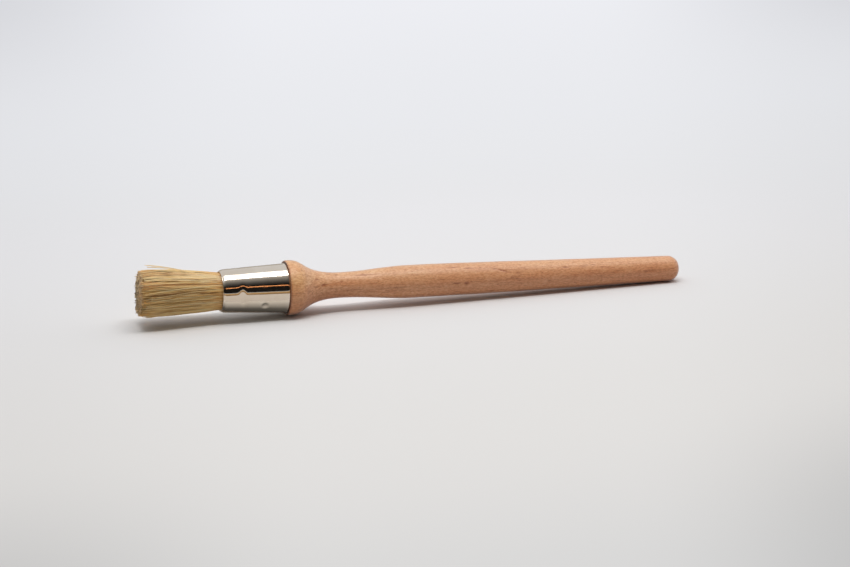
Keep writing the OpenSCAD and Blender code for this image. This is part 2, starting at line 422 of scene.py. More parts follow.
def beech_material():
    m = Nodes("beech")
    g = m.attr("grain").outputs["Vector"]
    # slow wander of the grain, so that no line runs dead straight
    wander = m.noise(m.vmath("MULTIPLY", g, (0.018, 0.10, 0.10)), 1.0, 2.0)
    sep = m.new("ShaderNodeSeparateXYZ")
    m.link(g, sep.inputs[0])
    bent = m.new("ShaderNodeCombineXYZ")
    m.link(sep.outputs[0], bent.inputs[0])
    m.link(m.math("MULTIPLY_ADD", m.math("SUBTRACT", wander, 0.5), 3.2, sep.outputs[1]), bent.inputs[1])
    m.link(m.math("MULTIPLY_ADD", m.math("SUBTRACT", wander, 0.5), -1.6, sep.outputs[2]), bent.inputs[2])
    gb = bent.outputs[0]
    # growth rings: nearly flat layers through the blank, a few millimetres apart
    sb = m.new("ShaderNodeSeparateXYZ")
    m.link(gb, sb.inputs[0])
    layer = m.math("ADD", m.math("MULTIPLY", sb.outputs[1], 0.83), m.math("MULTIPLY", sb.outputs[2], 0.56))
    layer = m.math("ADD", layer, m.math("MULTIPLY", m.noise(m.vmath("MULTIPLY", g, (0.03, 0.3, 0.3)), 1.0, 3.0), 1.2))
    rings = m.math("FRACT", m.math("MULTIPLY", layer, 0.42))
    late = m.maprange(rings, 0.55, 0.98, 0.0, 1.0)
    late = m.math("MULTIPLY", late, m.maprange(rings, 0.98, 1.0, 1.0, 0.0))
    # fibres along the length, at two widths
    fibre = m.noise(m.vmath("MULTIPLY", gb, (0.055, 2.6, 2.6)), 1.0, 4.0, 0.62)
    fine = m.noise(m.vmath("MULTIPLY", gb, (0.16, 8.0, 8.0)), 1.0, 2.0, 0.6)
    patch = m.noise(m.vmath("MULTIPLY", g, (0.035, 0.14, 0.14)), 1.0, 2.0)
    base = m.ramp(
        m.maprange(fibre, 0.28, 0.72, 0.0, 1.0),
        [(0.0, (0.690, 0.325, 0.158)), (0.45, (0.820, 0.418, 0.216)), (1.0, (0.900, 0.520, 0.290))],
    )
    base = m.mix("MULTIPLY", m.math("MULTIPLY", late, 0.50), base, (0.86, 0.70, 0.58, 1))
    base = m.mix("MIX", m.maprange(patch, 0.35, 0.68, 0.0, 0.32), base, (0.830, 0.390, 0.200, 1))
    base = m.mix("MULTIPLY", m.maprange(fine, 0.42, 0.66, 0.0, 0.27), base, (0.84, 0.70, 0.58, 1))
    # ray flecks: short dark lens shapes in line with the grain
    small = m.voronoi(m.vmath("MULTIPLY", gb, (0.42, 1.75, 1.75)))
    pick = m.new("ShaderNodeSeparateColor")
    m.link(small.outputs["Color"], pick.inputs[0])
    fleck = m.math(
        "MULTIPLY",
        m.maprange(small.outputs["Distance"], 0.13, 0.27, 1.0, 0.0),
        m.maprange(pick.outputs[0], 0.42, 0.62, 0.0, 1.0),
    )
    tiny = m.voronoi(m.vmath("MULTIPLY", gb, (1.1, 4.2, 4.2)))
    pick2 = m.new("ShaderNodeSeparateColor")
    m.link(tiny.outputs["Color"], pick2.inputs[0])
    speck = m.math(
        "MULTIPLY",
        m.maprange(tiny.outputs["Distance"], 0.14, 0.32, 1.0, 0.0),
        m.maprange(pick2.outputs[1], 0.5, 0.75, 0.0, 1.0),
    )
    base = m.mix("MULTIPLY", m.math("MULTIPLY", fleck, 0.70), base, (0.70, 0.49, 0.34, 1))
    round_end = m.maprange(sep.outputs[0], 33.0, 30.5, 0.0, 1.0)
    base = m.mix("MULTIPLY", m.math("MULTIPLY", speck, m.math("MULTIPLY_ADD", round_end, 0.50, 0.40)), base, (0.72, 0.50, 0.34, 1))
    base = m.mix("MULTIPLY", round_end, base, (1.05, 1.05, 0.94, 1))
    # rare, larger dark streaks
    big = m.voronoi(m.vmath("MULTIPLY", gb, (0.085, 0.62, 0.62)))
    pick3 = m.new("ShaderNodeSeparateColor")
    m.link(big.outputs["Color"], pick3.inputs[0])
    streak = m.math(
        "MULTIPLY",
        m.maprange(big.outputs["Distance"], 0.05, 0.30, 1.0, 0.0),
        m.maprange(pick3.outputs[2], 0.55, 0.8, 0.0, 1.0),
    )
    base = m.mix("MULTIPLY", m.math("MULTIPLY", streak, 0.50), base, (0.80, 0.58, 0.46, 1))
    dent = m.math("MINIMUM", m.attr("dent").outputs["Fac"], 1.0)
    base = m.mix("MULTIPLY", m.math("MULTIPLY", dent, 0.85), base, (0.54, 0.31, 0.17, 1))
    ends = m.maprange(m.attr("cross").outputs["Fac"], 0.55, 1.0, 0.0, 0.75)
    base = m.mix("MULTIPLY", ends, base, (0.66, 0.50, 0.40, 1))
    # the shoulder face inside the crevice is darkened beyond its end grain: painted shade in the gap behind the
    # ferrule
    base = m.mix("MULTIPLY", m.maprange(m.attr("cross").outputs["Fac"], 1.05, 2.0, 0.0, 1.0), base, (0.36, 0.26, 0.20, 1))
    # dry, slightly mottled surface; towards the far end the colour is darkened, painted shade for light that falls
    # off along the handle
    mottle = m.noise(m.vmath("MULTIPLY", g, (0.85, 2.0, 2.0)), 1.0, 3.0, 0.65)
    base = m.mix("MULTIPLY", m.maprange(mottle, 0.47, 0.62, 0.0, 0.75), base, (0.77, 0.63, 0.51, 1))
    base = m.mix("SCREEN", m.maprange(mottle, 0.47, 0.34, 0.0, 0.22), base, (0.80, 0.62, 0.42, 1))
    far_end_painted_shade = m.maprange(sep.outputs[0], 50.0, 185.0, 0.0, 1.0)
    base = m.mix("MULTIPLY", 1.0, base, (1.04, 0.97, 0.88, 1))
    base = m.mix("MULTIPLY", far_end_painted_shade, base, (0.97, 0.88, 0.84, 1))
    # the upper side is painted paler and yellower: a painted highlight where the light from above falls
    base = m.mix("MULTIPLY", m.maprange(sep.outputs[1], 1.2, 5.2, 0.0, 1.0), base, (1.0, 1.13, 1.14, 1))
    # and the underside of the bell is painted darker and redder: painted shade
    bell_underside_painted_shade = m.math("MULTIPLY", m.maprange(sep.outputs[1], -0.5, -4.0, 0.0, 1.0), m.maprange(sep.outputs[0], 56.0, 44.0, 0.0, 1.0))
    base = m.mix("MULTIPLY", bell_underside_painted_shade, base, (0.88, 0.80, 0.79, 1))
    height = m.math("MULTIPLY", fine, 0.35)
    height = m.math("SUBTRACT", height, m.math("MULTIPLY", fleck, 0.55))
    height = m.math("SUBTRACT", height, m.math("MULTIPLY", speck, 0.35))
    height = m.math("ADD", height, m.math("MULTIPLY", fibre, 0.5))
    normal = m.bump(height, 0.42, 0.00010)
    rough = m.maprange(fibre, 0.3, 0.7, 0.52, 0.42)
    m.principled(Base_Color=base, Roughness=rough, Specular_IOR_Level=0.80, Sheen_Weight=0.75, Sheen_Roughness=0.40, Normal=normal)
    return m.mat


# ---------------------------------------------------------------- ferrule
def build_ferrule():
    s_all, r_all = node_sr("ferrule")
    # the sheet stops just short of the shoulder, which leaves a fine dark gap
    length = float(s_all.max()) - 0.28
    r0 = float(r_all[(s_all > 0.1) & (s_all < 0.6)].max())
    r1 = float(r_all[s_all > length - 0.4].max())
    wall = 0.4

    def base_r(s):
        return r0 + (r1 - r0) * s / length

    dents = [(16.2, math.radians(120)), (16.2, math.radians(300))]
    wave_a = ripple(31, 9, 0.10, 0.45, 1, 4)
    wave_b = ripple(32, 12, 0.5, 1.4, 2, 8)

    def surf(s, phi):
        r = base_r(s)
        # rolled crimp: a shallow groove with a soft shoulder on each side, nipped deeper at both sides
        x = s - 7.6
        wide = np.where(x < 0, 1.55, 1.05)
        r = r - 0.045 * np.exp(-(x / 1.1) ** 2)
        for centre in (93, 273):
            turn = (np.mod(phi - math.radians(centre) + math.pi, TAU) - math.pi) * 9.0
            e = (x / wide) ** 2 + (turn / 3.7) ** 2
            r = r - 0.52 * (1 - 0.30 * e) * np.exp(-e)
        # mouth curled in, back edge opened a little
        r = r - 0.52 * np.exp(-(s / 0.80) ** 1.6)
        r = r + (0.17 + 0.05 * np.sin(3 * phi + 1.0) + 0.03 * np.sin(11 * phi)) * np.exp(-((length - s) / 0.50) ** 2)
        fade = smooth(0, 2.5, s) * smooth(0, 2.5, length - s)
        r = r + fade * (0.009 * wave_a(s, phi) + 0.0022 * wave_b(s, phi))
        for ds, dp in dents:
            y = (np.mod(phi - dp + math.pi, TAU) - math.pi) * base_r(ds)
            d = np.hypot(s - ds, y)
            r = r - 0.32 * (1 - smooth(0.30, 1.65, d)) + 0.03 * np.exp(-((d - 1.95) / 0.45) ** 2)
        return r

    # one closed section: outside, back lip, inside, mouth lip
    fine = np.unique(
        np.concatenate([
            np.linspace(0.12, 1.6, 14), np.linspace(1.6, 4.6, 14), np.linspace(4.6, 11.5, 66),
            np.linspace(11.5, 13.6, 10), np.linspace(13.6, 18.8, 56), np.linspace(18.8, 24.2, 26),
            np.linspace(24.2, length - 0.12, 16),
        ])
    )
    inner = np.unique(np.concatenate([np.linspace(0.12, 14, 24), np.linspace(14, 18.5, 20), np.linspace(18.5, length - 0.12, 12)]))[::-1]
    seg = 288
    phi = np.arange(seg) * TAU / seg
    rings, kind = [], []
    for s in fine:
        rings.append((np.full(seg, s), surf(np.full(seg, s), phi)))
    for q in np.linspace(0, math.pi, 7)[1:-1]:
        mid = surf(np.full(seg, length - 0.12), phi) - wall / 2
        rings.append((np.full(seg, length - 0.12 + 0.10 * math.sin(q)), mid + wall / 2 * math.cos(q)))
    for s in inner:
        rings.append((np.full(seg, s), surf(np.full(seg, s), phi) - wall))
    for q in np.linspace(0, math.pi, 9)[1:-1]:
        mid = surf(np.full(seg, 0.12), phi) - wall / 2
        rings.append((np.full(seg, 0.12 - 0.13 * math.sin(q)), mid - wall / 2 * math.cos(q)))
    SS = np.array([a for a, _ in rings])
    RR = np.array([b for _, b in rings])
    PP = np.repeat(phi[None, :], len(rings), 0)
    V = place(SS, RR * np.cos(PP), RR * np.sin(PP)).reshape(-1, 3)
    q = grid_faces(len(rings), seg, closed=True)
    ob = make_mesh("ferrule_shell", V, q.ravel(), np.full(len(q), 4))
    vertex_vector(ob, "sheet", np.stack([SS, RR * np.cos(PP), RR * np.sin(PP)], -1).reshape(-1, 3))
    vertex_vector(ob, "turn", np.stack([SS, PP * 9.0, np.zeros_like(SS)], -1).reshape(-1, 3))
    inside = np.zeros(len(rings))
    inside[len(fine) + 3 : len(fine) + 5 + len(inner) + 3] = 1
    vertex_float(ob, "inside", np.repeat(inside, seg))
    return ob


def nickel_material():
    m = Nodes("nickel_plate")
    g = m.attr("sheet").outputs["Vector"]
    # faint tarnish clouds, wiping haze and fine draw lines round the sheet
    cloud = m.noise(m.vmath("MULTIPLY", g, (0.10, 0.10, 0.10)), 1.0, 4.0, 0.6)
    haze = m.noise(m.vmath("MULTIPLY", g, (0.55, 0.55, 0.55)), 1.0, 5.0, 0.65)
    lines = m.noise(m.vmath("MULTIPLY", g, (0.35, 7.0, 7.0)), 1.0, 3.0, 0.7)
    spots = m.voronoi(m.vmath("MULTIPLY", g, (0.5, 0.5, 0.5)))
    spot = m.maprange(spots.outputs["Distance"], 0.05, 0.12, 1.0, 0.0)
    base = m.mix("MIX", m.maprange(cloud, 0.35, 0.65, 0.0, 1.0), (0.755, 0.685, 0.595, 1), (0.715, 0.635, 0.535, 1))
    base = m.mix("MIX", m.math("MULTIPLY", spot, 0.30), base, (0.52, 0.43, 0.34, 1))
    base = m.mix("MULTIPLY", m.math("MULTIPLY", m.attr("inside").outputs["Fac"], 0.55), base, (0.45, 0.36, 0.27, 1))
    rough = m.math("ADD", m.maprange(haze, 0.35, 0.75, 0.055, 0.135), m.math("MULTIPLY", spot, 0.12))
    rough = m.math("ADD", rough, m.maprange(lines, 0.5, 0.8, 0.0, 0.05))
    height = m.math("ADD", m.math("MULTIPLY", haze, 0.35), m.math("MULTIPLY", lines, 0.25))
    normal = m.bump(height, 0.10, 0.00006)
    m.principled(Base_Color=base, Metallic=1.0, Roughness=rough, Normal=normal)
    return m.mat


# ---------------------------------------------------------------- bristles
TONES = 24


def tuft_outline():
    s, r = node_sr("bristle_tuft")
    ring = stations(s, r)
    return ring, float(s.min())


def settle(U, free, tip_r):
    """The lower hairs are set a little closer than the upper ones, and the rim is rounded."""
    low, high = np.clip(-U / tip_r, 0, 1), np.clip(U / tip_r, 0, 1)
    U = U + 0.34 * smooth(0.25, 0.85, free) * low
    U = U + (0.42 * smooth(0.55, 0.92, free) + 0.38 * smooth(0.88, 1.0, free)) * low**2
    return U - 0.25 * smooth(0.80, 1.0, free) * high**3


def bristle_paths():
    """Centre line, radius and tone of every bristle. Each one starts in the resin and ends at the trim."""
    rg = np.random.default_rng(20)
    ring, s_tip = tuft_outline()
    rootr, _ = node_sr("bristle_roots")
    mouth_r = 7.20
    # trimmed end: how far back the trim is at each radius
    rim = ring[ring[:, 0] < s_tip + 3.0]
    tip_r = float(ring[:, 1].max())
    count = 4300
    # sunflower layout with jitter fills the round mouth evenly
    k = np.arange(count) + 0.5
    rad = np.sqrt(k / count) * (mouth_r - 0.08)
    ang = k * 2.399963
    rad = np.clip(rad + rg.normal(0, 0.05, count), 0, mouth_r - 0.08)
    u0, v0 = rad * np.cos(ang), rad * np.sin(ang)
    grow = tip_r / mouth_r
    u1, v1 = u0 * grow, v0 * grow
    # locks: bristles lean together towards shared centres
    def locks(n, seed):
        lr = np.random.default_rng(seed)
        kk = np.arange(n) + 0.5
        lrad = np.sqrt(kk / n) * tip_r * 0.99
        lang = kk * 2.399963 + lr.uniform(0, TAU)
        cu = lrad * np.cos(lang) + lr.normal(0, 0.25 * tip_r / math.sqrt(n) * 1.7, n)
        cv = lrad * np.sin(lang) + lr.normal(0, 0.25 * tip_r / math.sqrt(n) * 1.7, n)
        d = (u1[:, None] - cu) ** 2 + (v1[:, None] - cv) ** 2
        return cu, cv, np.argmin(d, 1), lr

    cu, cv, big, lr = locks(110, 3)
    su, sv, sub, sr = locks(720, 4)
    big_pull = lr.uniform(0.03, 0.22, len(cu))[big]
    sub_pull = sr.uniform(0.05, 0.65, len(su))[sub]
    # each lock wanders a little as a whole
    bw_u, bw_v = lr.normal(0, 0.26, len(cu))[big], lr.normal(0, 0.26, len(cu))[big]
    twist = lr.normal(0, 0.045, len(cu))[big]
    sw_u, sw_v = sr.normal(0, 0.16, len(su))[sub], sr.normal(0, 0.16, len(su))[sub]
    own_u, own_v = rg.normal(0, 0.15, count), rg.normal(0, 0.15, count)
    bow_a, bow_p = np.abs(rg.normal(0, 0.16, count)), rg.uniform(0, TAU, count)
    out_r = np.hypot(u1, v1) / tip_r
    # trim
    trim = np.interp(out_r * tip_r, rim[:, 1], rim[:, 0]) if len(rim) > 2 else np.full(count, s_tip)
    trim = s_tip + 0.55 * out_r**3 - 0.9 * np.clip(-u1 / tip_r, 0, 1) - 1.1 * np.clip(v1 / tip_r, 0, 1) + np.abs(rg.normal(0, 0.42, count)) + lr.normal(0, 0.18, len(cu))[big]
    short = rg.random(count) < 0.035
    trim = trim + short * rg.uniform(0.4, 2.4, count)
    longer = rg.random(count) < 0.02
    trim = trim - longer * rg.uniform(0.2, 0.8, count)
    # stations along a bristle: butt, inside, mouth, then the free length
    cols = np.array([-0.30, -0.10, 0.0, 0.09, 0.20, 0.33, 0.47, 0.62, 0.77, 0.90, 0.984, 1.0])
    T = np.repeat(cols[None, :], count, 0)
    free = np.clip(T, 0, 1)
    S = np.where(T < 0, -T * 38.0, T * trim[:, None])
    S[:, 0] = 11.6
    S[:, 1] = 4.0
    shape_s = -np.array([0.0] + list(-ring[::-1, 0]))
    shape_r = np.array([mouth_r] + list(ring[::-1, 1]))
    order = np.argsort(shape_s)
    prof = np.interp(np.clip(S, s_tip + 1.6, 0), shape_s[order], shape_r[order])
    g = (prof - mouth_r) / (tip_r - mouth_r)
    pull = smooth(0.0, 0.55, free) * (0.55 + 0.45 * free)
    U = u0[:, None] + (u1 - u0)[:, None] * g
    V = v0[:, None] + (v1 - v0)[:, None] * g
    U = U + pull * (big_pull * (cu[big] - u1) + sub_pull * (su[sub] - u1) * 0.8)[:, None]
    V = V + pull * (big_pull * (cv[big] - v1) + sub_pull * (sv[sub] - v1) * 0.8)[:, None]
    go = free**1.4
    U = U + go * (bw_u + sw_u + own_u)[:, None] - V * (twist[:, None] * free)
    V = V + go * (bw_v + sw_v + own_v)[:, None] + U * (twist[:, None] * free)
    bow = np.sin(math.pi * np.clip(free, 0, 1) ** 0.9)
    U = U + bow * (bow_a * np.cos(bow_p))[:, None]
    V = V + bow * (bow_a * np.sin(bow_p))[:, None]
    # keep the outside of the tuft to its outline, softly
    rr = np.hypot(U, V)
    limit = prof + 0.10
    over = np.maximum(rr - limit, 0)
    scale = np.where(over > 0, (limit + over * 0.25) / np.maximum(rr, 1e-6), 1.0)
    scale = np.where(T <= 0, np.minimum(1.0, (mouth_r - 0.02) / np.maximum(rr, 1e-6)), scale)
    U, V = U * scale, V * scale
    # slight set of the whole tuft: it bows up a little at mid length
    U = U + 0.30 * np.sin(math.pi * free)
    U = settle(U, free, tip_r)
    tone = rg.normal(0.55, 0.16, count) + lr.normal(0, 0.12, len(cu))[big] + sr.normal(0, 0.20, len(su))[sub]
    dark = rg.random(count) < 0.07
    tone = np.where(dark, tone - rg.uniform(0.2, 0.4, count), tone)
    thick = rg.normal(1.0, 0.13, count).clip(0.7, 1.35)
    R = (0.114 - 0.014 * free) * thick[:, None]
    return S, U, V, R, tone.clip(0.02, 0.98), cols


def stray_paths(cols):
    """Hairs that stand off the tuft: angle, where they leave it, how far they rise, extra length, sideways drift."""
    ring, s_tip = tuft_outline()
    tip_r = float(ring[:, 1].max())
    order = np.argsort(ring[:, 0])
    special = [
        (2, 6.5, 2.35, 1.4, -0.6), (-6, 7.0, 2.25, 2.3, 0.5), (9, 7.0, 2.30, 2.0, -0.2), (5, 6.0, 2.45, 3.9, 0.2),
        (0, 6.0, 2.50, 5.0, 0.1), (-11, 8.0, 1.50, 3.0, -0.3), (14, 9.0, 0.55, 3.1, 0.3), (-18, 9.5, 0.60, 2.8, 0.6), (112, 17.0, 0.35, -2.1, 0.5), (124, 19.0, 0.55, -1.6, -0.4), (133, 18.0, 0.75, -1.0, 0.6),
        (141, 20.0, 0.50, -0.7, 0.0), (96, 18.0, 0.30, -1.0, 0.3), (152, 16.0, 0.60, -0.2, -0.5), (75, 15.0, 0.25, -0.8, 0.2),
    ]
    rg = np.random.default_rng(77)
    for _ in range(26):
        special.append(
            (rg.uniform(0, 360), rg.uniform(8, 24), abs(rg.normal(0.12, 0.16)) + 0.05, rg.uniform(-1.1, 1.4), rg.normal(0, 0.5))
        )
    S, U, V, R = [], [], [], []
    free = np.clip(cols, 0, 1)
    for deg, leave, rise, extra, drift in special:
        end = s_tip + 1.0 + extra
        s = np.where(cols < 0, 0, cols * end)
        s[0], s[1] = 11.6, 4.0
        prof = np.interp(np.clip(s, s_tip + 1.6, 0), ring[order, 0], ring[order, 1])
        prof = np.where(s >= -5, 7.05 + (prof[np.argmin(abs(s + 5))] - 7.05) * np.clip(-s / 5, 0, 1), prof)
        off = -0.12 + (rise + 0.12) * smooth(leave, leave + (26 if leave < 10 else 16), -s) * 1.15
        a = math.radians(deg) + drift / 9.0 * free**1.5
        r = np.where(cols <= 0, 7.0, prof + off)
        S.append(s); U.append(settle(r * np.cos(a) + 0.30 * np.sin(math.pi * free), free, tip_r)); V.append(r * np.sin(a))
        R.append((0.112 - 0.036 * free) * rg.uniform(0.9, 1.25))
    # a few pale, thicker hairs that lie across the others near the mouth
    pale = [(24, 5.0), (27, -4.0), (31, 6.0), (34, -3.0), (21, 3.0), (38, 5.0), (44, -5.0), (140, 4.0), (200, -4.0), (262, 5.0), (318, -4.0)]
    for deg, drift in pale:
        end = s_tip + 1.5
        s = np.where(cols < 0, 0, cols * end)
        s[0], s[1] = 11.6, 4.0
        prof = np.interp(np.clip(s, s_tip + 1.6, 0), ring[order, 0], ring[order, 1])
        prof = np.where(s >= -5, 7.05 + (prof[np.argmin(abs(s + 5))] - 7.05) * np.clip(-s / 5, 0, 1), prof)
        a = np.radians(deg + drift * free)
        r = np.where(cols <= 0, 7.0, prof + 0.16 * np.sin(math.pi * np.clip(free * 1.6, 0, 1)) - 0.9 * smooth(0.5, 1.0, free))
        S.append(s); U.append(settle(r * np.cos(a) + 0.30 * np.sin(math.pi * free), free, tip_r)); V.append(r * np.sin(a))
        R.append((0.150 - 0.060 * free) * rg.uniform(0.9, 1.15))
    # hairs that lie on the outside of the tuft and cross their neighbours
    for _ in range(260):
        deg, drift = rg.uniform(0, 360), rg.normal(0, 1.3)
        end = s_tip + 1.0 + abs(rg.normal(0, 1.4))
        s = np.where(cols < 0, 0, cols * end)
        s[0], s[1] = 11.6, 4.0
        prof = np.interp(np.clip(s, s_tip + 1.6, 0), ring[order, 0], ring[order, 1])
        prof = np.where(s >= -5, 7.05 + (prof[np.argmin(abs(s + 5))] - 7.05) * np.clip(-s / 5, 0, 1), prof)
        off = -0.25 + 0.50 * np.sin(math.pi * free ** rg.uniform(0.6, 1.5)) * rg.uniform(0.4, 1.0) + 0.2 * free
        a = math.radians(deg) + (drift * free + rg.normal(0, 0.35) * np.sin(math.pi * free)) / 9.0
        r = np.where(cols <= 0, 6.95, prof + off)
        S.append(s); U.append(settle(r * np.cos(a) + 0.30 * np.sin(math.pi * free), free, tip_r)); V.append(r * np.sin(a))
        R.append((0.112 - 0.036 * free) * rg.uniform(0.8, 1.25))
    tone = rg.uniform(0.5, 0.9, len(special))
    tone[:6] = 0.90
    tone = np.concatenate([tone, np.full(len(pale), 0.97)])
    tone = np.concatenate([tone, np.where(rg.random(260) < 0.3, rg.uniform(0.05, 0.35, 260), rg.uniform(0.6, 0.98, 260))])
    return np.array(S), np.array(U), np.array(V), np.array(R), tone


def tubes(name, S, U, V, R, tone, sides=5):
    """One mesh of closed tapered tubes, one per bristle."""
    count, cols = S.shape
    a = np.arange(sides) * TAU / sides
    spin = np.random.default_rng(9).uniform(0, TAU, count)
    ca = np.cos(a[None, None, :] + spin[:, None, None])
    sa = np.sin(a[None, None, :] + spin[:, None, None])
    u = U[..., None] + R[..., None] * ca
    v = V[..., None] + R[..., None] * sa
    s = np.repeat(S[..., None], sides, 2)
    P = place(s, u, v).reshape(-1, 3)
    base = (np.arange(count) * cols * sides)[:, None, None]
    i = np.arange(cols - 1)[None, :, None] * sides
    j = np.arange(sides)[None, None, :]
    f = np.stack([base + i + j, base + i + (j + 1) % sides, base + i + sides + (j + 1) % sides, base + i + sides + j], -1)
    quads = f.reshape(-1, 4)[:, ::-1]
    b = np.arange(count)[:, None] * cols * sides
    butt = b + np.arange(sides)[None, :]
    tip = b + (cols - 1) * sides + np.arange(sides)[None, ::-1]
    flat = np.concatenate([quads.ravel(), butt.ravel(), tip.ravel()])
    sizes = np.concatenate([np.full(len(quads), 4), np.full(2 * count, sides)])
    ob = make_mesh(name, P, flat, sizes)
    # thin hairs pass light on, so they shade partly like the surface of the whole bundle
    rad = np.hypot(U, V)[..., None] + 1e-6
    nu = 0.40 * ca + 0.60 * (U[..., None] / rad)
    nv = 0.40 * sa + 0.60 * (V[..., None] / rad)
    ns = np.zeros_like(nu)
    ns[:, -1] = -1.1
    ns[:, 0] = 1.1
    nw = nu[..., None] * N + nv[..., None] * B + ns[..., None] * D
    nw /= np.linalg.norm(nw, axis=-1, keepdims=True)
    ob.data.normals_split_custom_set_from_vertices(nw.reshape(-1, 3).tolist())
    level = np.clip((tone * TONES).astype(int), 0, TONES - 1)
    shade = (level + 0.5) / TONES
    along = np.clip(-S / 31.0, 0, 1.05)
    vertex_float(ob, "tone", np.repeat(shade, cols * sides))
    vertex_float(ob, "along", np.repeat(along.ravel(), sides))
    last = np.zeros((count, cols)); last[:, -1] = 1.0
    vertex_float(ob, "tip", np.repeat(last.ravel(), sides))
    # texture layout: one column for each tone, height is the place along the bristle
    me = ob.data
    lv = np.empty(len(me.loops), np.int32)
    me.loops.foreach_get("vertex_index", lv)
    bristle = lv // (cols * sides)
    al = np.repeat(along.ravel(), sides)[lv]
    side = (lv % sides) / sides
    col = level[bristle]
    uu = (col + 0.25 + 0.5 * side) / TONES
    vv = 0.03 + 0.90 * al
    bake_uv(ob, np.stack([uu, vv], -1))
    return ob


def bristle_material():
    m = Nodes("hog_bristle")
    tone = m.attr("tone").outputs["Fac"]
    along = m.attr("along").outputs["Fac"]
    base = m.ramp(
        tone,
        [
            (0.0, (0.230, 0.095, 0.025)), (0.22, (0.740, 0.405, 0.120)), (0.48, (0.990, 0.675, 0.260)),
            (0.75, (0.995, 0.780, 0.365)), (1.0, (0.995, 0.880, 0.560)),
        ],
    )
    base = m.mix("MULTIPLY", 1.0, base, (1.0, 0.985, 0.93, 1))
    # every second tone step is a more orange hair
    odd = m.math("GREATER_THAN", m.math("FRACT", m.math("MULTIPLY", tone, TONES / 2)), 0.5)
    base = m.mix("MULTIPLY", m.math("MULTIPLY", odd, 0.65), base, (1.0, 0.86, 0.66, 1))
    # the root is a little browner; right at the mouth the hairs are darkened further, partly painted shade under the
    # ferrule lip and partly the pressed bases' own colour
    base = m.mix("MULTIPLY", m.maprange(along, 0.30, 0.0, 0.0, 0.40), base, (0.86, 0.74, 0.58, 1))
    base = m.mix("MULTIPLY", m.maprange(along, 0.05, 0.0, 0.0, 0.5), base, (0.70, 0.56, 0.42, 1))
    # cut ends differ: some show pale, some dull and dark
    worn = m.math("FRACT", m.math("MULTIPLY", tone, 7.3))
    end = m.mix("MIX", m.maprange(worn, 0.58, 0.85, 0.0, 1.0), (1.0, 0.770, 0.490, 1), (0.330, 0.220, 0.130, 1))
    base = m.mix("MIX", m.math("MULTIPLY", m.attr("tip").outputs["Fac"], 0.85), base, end)
    rough = m.maprange(along, 0.0, 1.0, 0.34, 0.46)
    m.principled(Base_Color=base, Roughness=rough, Specular_IOR_Level=0.75, Diffuse_Roughness=0.6)
    return m.mat


def build_bristles():
    S, U, V, R, tone, cols = bristle_paths()
    order = np.argsort(np.hypot(U[:, -1], V[:, -1]))
    parts = np.array_split(order, 3)
    out = []
    for name, idx in zip(("bristles_core", "bristles_middle", "bristles_outer"), parts):
        out.append(tubes(name, S[idx], U[idx], V[idx], R[idx], tone[idx]))
    s2, u2, v2, r2, t2 = stray_paths(cols)
    out.append(tubes("bristles_stray", s2, u2, v2, r2, t2, sides=6))
    return out


def resin_material():
    m = Nodes("setting_resin")
    co = m.new("ShaderNodeTexCoord").outputs["Object"]
    n1 = m.noise(co, 900.0, 4.0, 0.6)
    n2 = m.noise(co, 3500.0, 2.0, 0.5)
    base = m.ramp(n1, [(0.3, (0.17, 0.085, 0.030)), (0.7, (0.36, 0.19, 0.070))])
    m.principled(
        Base_Color=base, Roughness=m.maprange(n2, 0.3, 0.7, 0.18, 0.42), Specular_IOR_Level=0.5,
        Normal=m.bump(n2, 0.4, 0.0001),
    )
    return m.mat


handle = build_handle()
handle.data.materials.append(beech_material())
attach(handle, "brush")
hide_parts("handle")

ferrule = build_ferrule()
ferrule.data.materials.append(nickel_material())
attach(ferrule, "brush")
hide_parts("ferrule")

hair = bristle_material()
pieces = build_bristles()
for ob in pieces:
    ob.data.materials.append(hair)
    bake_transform(ob)
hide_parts("bristle_butts")
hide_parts("bristle_roots")
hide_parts("bristle_tuft")

resin = frame["nodes"]["setting_resin"]
resin.data.materials.clear()
resin.data.materials.append(resin_material())

# ---------------------------------------------------------------- stage
scene = bpy.context.scene
scene.view_settings.view_transform = "Standard"
scene.view_settings.look = "None"
BACK = (0.772, 0.776, 0.795)


def flat_mesh(name, verts, faces):
    me = bpy.data.meshes.new(name)
    me.from_pydata(verts, [], faces)
    ob = bpy.data.objects.new(name, me)
    scene.collection.objects.link(ob)
    return ob


floor = flat_mesh("floor", [(-12, -12, 0), (12, -12, 0), (12, 12, 0), (-12, 12, 0)], [(0, 1, 2, 3)])
fm = Nodes("paper_floor")
fco = fm.new("ShaderNodeTexCoord").outputs["Object"]
fn = fm.noise(fco, 2.2, 2.0)
fxyz = fm.new("ShaderNodeSeparateXYZ")
fm.link(fco, fxyz.inputs[0])
fx, fy = fxyz.outputs[0], fxyz.outputs[1]
# the paper is painted darker towards the sides and corners, painted shade where the light falls off, and paler and
# cooler further back, painted light
side_x = fm.math("DIVIDE", fm.math("MULTIPLY_ADD", fy, -0.30, fx), fm.math("MAXIMUM", fm.math("MULTIPLY_ADD", fy, 0.30, 0.24), 0.15))
paper_painted_falloff = fm.maprange(fm.math("ABSOLUTE", fm.math("SUBTRACT", side_x, 0.07)), 0.25, 0.85, 0.0, 1.0)
corner_painted_falloff = fm.math("ADD", fm.maprange(fy, -0.13, -0.25, 0.07, 0.20), fm.maprange(fy, 0.35, 1.0, 0.0, 0.14))
paper_painted_falloff = fm.math("MULTIPLY", paper_painted_falloff, corner_painted_falloff)
paper_painted_falloff = fm.math("MULTIPLY", paper_painted_falloff, fm.maprange(fy, -1.2, -0.4, 0.0, 1.0))
fcol = fm.mix("MIX", fm.maprange(fy, -0.16, 0.16, 0.0, 1.0), (0.757, 0.748, 0.736, 1), (0.786, 0.788, 0.806, 1))
